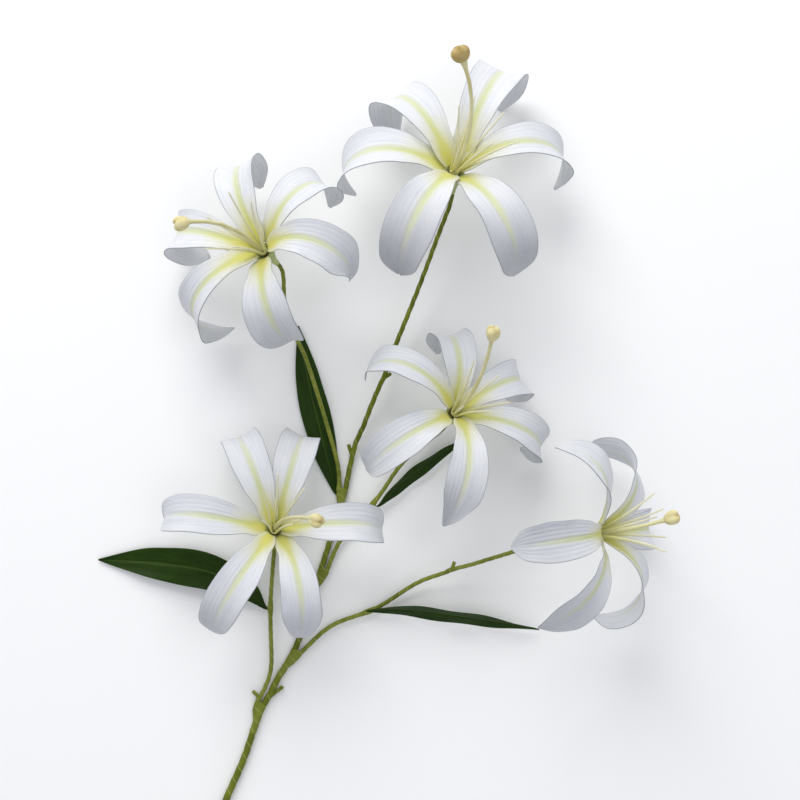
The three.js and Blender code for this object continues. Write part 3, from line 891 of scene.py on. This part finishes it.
def wound(radius_of, pitch, ridge):
    """Radii of a rod wound with tape, each turn of it lapping the one before."""

    def radius(run, around):
        phase = np.mod(run / pitch + around / (2 * math.pi), 1)
        return radius_of(run) + ridge * (phase - 0.5) * np.clip((1 - phase) / 0.12, 0, 1)

    return radius


def make_stubs(line, stubs, pitch):
    """The short cut ends that stand off a stem."""
    pieces = []
    for share, towards, length in stubs:
        i = int(share * len(line))
        along = unit(line[i] - line[i - 3])
        lean = unit(along * 0.7 + np.array(heading(towards)))
        foot = line[i] - along * 1.5 * MM
        knee = line[i] + unit(along + lean) * 2.2 * MM
        bends = np.array([foot, knee, knee + lean * length / 2, knee + lean * length])
        path = evened(bends, STUB_STEP)
        reach = path[1][-1]

        def cut(run):
            wide = (1.5 - 0.35 * steps(0, 0.5 * reach, run)) * MM
            return wide * np.clip((reach - run) / MM + 0.8, 0, 1)

        pieces.append(rolled("stub", path, wound(cut, pitch, STUB_RIDGE), 16))
    return pieces


def hull(turn, stem, gap, stalk):
    """How far the tape that goes round a stem and a stalk beside it lies from the stem's middle.
    turn is the angle off the stalk's side."""
    turn = np.abs(np.mod(turn + math.pi, 2 * math.pi) - math.pi)
    lean = np.arccos(np.clip((stem - stalk) / np.maximum(gap, 1e-6), -1, 1))
    leaves = np.arctan2(stalk * np.sin(lean), gap + stalk * np.cos(lean))
    bridge = stem / np.maximum(np.cos(turn - lean), 0.2)
    outer = gap * np.cos(turn) + np.sqrt(np.maximum(stalk**2 - (gap * np.sin(turn)) ** 2, 0))
    wide = np.where(turn > lean, stem, np.where(turn > leaves, bridge, outer))
    return np.where(gap + stalk <= stem, stem, np.maximum(wide, stem))


JOINT_BELOW = 18 * MM  # how far the binding starts below the stalk's foot
JOINT_ABOVE = 15 * MM  # and how far above it the binding may reach
JOINT_STALK = 70  # steps of the stalk that can lie beside the main stem there
JOINT_GAP = 0.4 * MM  # the binding ends where the two stand further apart
TAPE = 0.2 * MM  # how far the binding stands off the stems


def make_joint(main, main_radius, stalk, stalk_radius, pitch):
    """The tape that binds the foot of a side stalk to the main stem."""
    near = int(np.linalg.norm(main - stalk[0], axis=1).argmin())
    below = int(JOINT_BELOW / STEP)
    path = main[near - below : near + int(JOINT_ABOVE / STEP)]
    tangent, across, up = frames_on(path)
    reach = np.zeros((len(path), 2))
    for i, (point, ahead) in enumerate(zip(path, tangent)):
        beside = stalk[np.abs((stalk[:JOINT_STALK] - point) @ ahead).argmin()] - point
        reach[i] = beside @ across[i], beside @ up[i]
    reach[:below] = reach[below]
    gap = np.linalg.norm(reach, axis=1)
    touching = main_radius[near] + stalk_radius
    end = below + 4
    while end < len(path) and gap[end] < touching + JOINT_GAP:
        end += 1
    path, reach, gap = path[:end], reach[:end], gap[:end]
    fade = steps(0, below + 1, np.arange(end))
    facing = np.arctan2(reach[:, 1], reach[:, 0])
    stem = main_radius[near - below : near - below + end]
    at = np.arange(end) * STEP

    def radius(run, around):
        row = np.rint(run / STEP).astype(int)
        inward = np.minimum(run - TAPE, at[-1] - run - TAPE)
        lip = TAPE * np.clip(inward / MM, -1, 1)
        beside = stalk_radius * fade[row] + lip
        both = hull(around - facing[row], stem[row] + lip, gap[row] * fade[row], beside)
        phase = np.mod(run / pitch + around / (2 * math.pi), 1)
        return both + TAPE * (phase - 0.5) * np.clip((1 - phase) / 0.15, 0, 1)

    return rolled("joint", (path, at), radius, 48)


# The stems: the flower, the radius at the foot and at the top, the tape's pitch and ridge, the sides
# and the finish.
MAIN = (2.4 * MM, 1.3 * MM, STEM_PITCH, 0.3 * MM, 24, stem_tape)
SIDE = (1.35 * MM, 1.25 * MM, STALK_PITCH, 0.18 * MM, 18, stalk_tape)
STEMS = {"main_stem": ("top", *MAIN)}
for name in LEAVES:
    STEMS["stalk_" + name] = (name, *SIDE)
# The stubs: the share of the stem's length that each stands at, its heading and its length.
STUBS = {
    "main_stem": [(0.30, 25, 11 * MM), (0.63, 125, 7 * MM), (0.74, 15, 5 * MM)],
    "stalk_lower": [(0.025, 170, 5 * MM)],
    "stalk_right": [(0.55, 95, 4.5 * MM)],
}
# One stalk bows to the left over its last part, behind its flower.
BOWED = "stalk_left"
BOW_LENGTH = 66 * MM
BOW_DEPTH = 3.5 * MM

lines = {}
for node, (flower, foot, top, pitch, ridge, sides, tape) in STEMS.items():
    start = start_of(node, flower)
    mesh = merged(node)
    near = sorted(mesh.verts, key=lambda v: (v.co - start).length)[: 2 * BLADE_SIDES + 1]
    first_heading = (sum((v.co for v in near), Vector()) / len(near) - start).normalized()
    mesh.free()
    line, at = stem_line(node, start, first_heading, foot, FLOWERS[flower]["back"])
    length = at[-1]
    if node == BOWED:
        share = np.clip((at - length + BOW_LENGTH) / BOW_LENGTH, 0, 1)
        line[:, 0] -= BOW_DEPTH * np.sin(math.pi * share) ** 2
    bound = []  # where a leaf's foot is bound on
    if flower in LEAVES:
        bound.append(at[np.linalg.norm(line - LEAVES[flower][0, 2], axis=1).argmin()])

    def plain(run):
        swell = sum(SWELL * np.exp(-(((run - place) / SWELL_REACH) ** 2)) for place in bound)
        return top + (foot - top) * np.clip(1 - run / length, 0, 1) ** 1.4 + swell

    parts = [rolled(node, (line, at), wound(plain, pitch, ridge), sides)]
    parts += make_stubs(line, STUBS.get(node, []), pitch)
    lines[node] = line
    if node == "main_stem":
        main_radii = plain(at)
    else:
        parts.append(make_joint(lines["main_stem"], main_radii, line, foot, pitch))
    finish(join("wound_" + node, parts), tape, "stem", node)


# ---------- leaves ----------
FOOT_SHARE = 0.75  # how far a leaf's foot is led on from the blade to the middle of its stalk


def leaf_width(share):
    """Drawn in to a narrow neck at the foot."""
    return 0.4 + 0.6 * steps(0.02, 0.22, share)


for name, net in LEAVES.items():
    stalk = lines["stalk_" + name]
    near = stalk[np.linalg.norm(stalk - net[0, 2], axis=1).argmin()]
    foot = net[:1] - net[:1, 2:3] + near * FOOT_SHARE + net[0, 2] * (1 - FOOT_SHARE)
    net = np.concatenate([foot, net])
    piece = blade(f"long_leaf_{name}", net, LEAF_GRID, leaf_relief("leaf_" + name), leaf_width)
    finish(piece, leaf_face, "leaf", "leaf_" + name)


# ---------- floor, light and camera ----------
bpy.ops.mesh.primitive_plane_add(size=12, location=(0, 0, 0))
floor = bpy.context.object
floor.name = floor.data.name = "floor"
paper = Finish("floor_paper", 0.9, Specular_IOR_Level=0.1)
pale, paler = (0.955, 0.955, 0.955), (0.965, 0.965, 0.965)
floor.data.materials.append(paper.done(paper.mix(paper.spots(3.0), pale, paler)))

world = bpy.data.worlds.new("studio")
bpy.context.scene.world = world
world.use_nodes = True
sky = world.node_tree.nodes["Background"]
sky.inputs["Color"].default_value = (0.93, 0.95, 1.0, 1)
sky.inputs["Strength"].default_value = 0.60


def lamp(name, place, size, power, colour):
    """A round soft lamp that looks at the middle of the spray."""
    data = bpy.data.lights.new(name, "AREA")
    data.shape = "DISK"
    data.size = size
    data.energy = power
    data.color = colour
    light = bpy.data.objects.new(name, data)
    bpy.context.scene.collection.objects.link(light)
    light.location = place
    aim = LAMPS_AIM - Vector(place)
    light.rotation_euler = aim.to_track_quat("-Z", "Y").to_euler()


LAMPS_AIM = Vector((0, 0, 0.03))
lamp("key", place=(-0.5, 1.8, 1.25), size=1.7, power=36, colour=(1, 0.99, 0.97))
lamp("fill", place=(0.7, -0.3, 2.0), size=1.8, power=5, colour=(0.95, 0.97, 1))

# The camera looks straight down.
lens = bpy.data.cameras.new("camera")
lens.lens = 85
lens.sensor_width = 36
camera = bpy.data.objects.new("camera", lens)
bpy.context.scene.collection.objects.link(camera)
camera.location = (0.0118, 0.0570, 1.173)
bpy.context.scene.camera = camera
bpy.context.scene.view_settings.view_transform = "Standard"
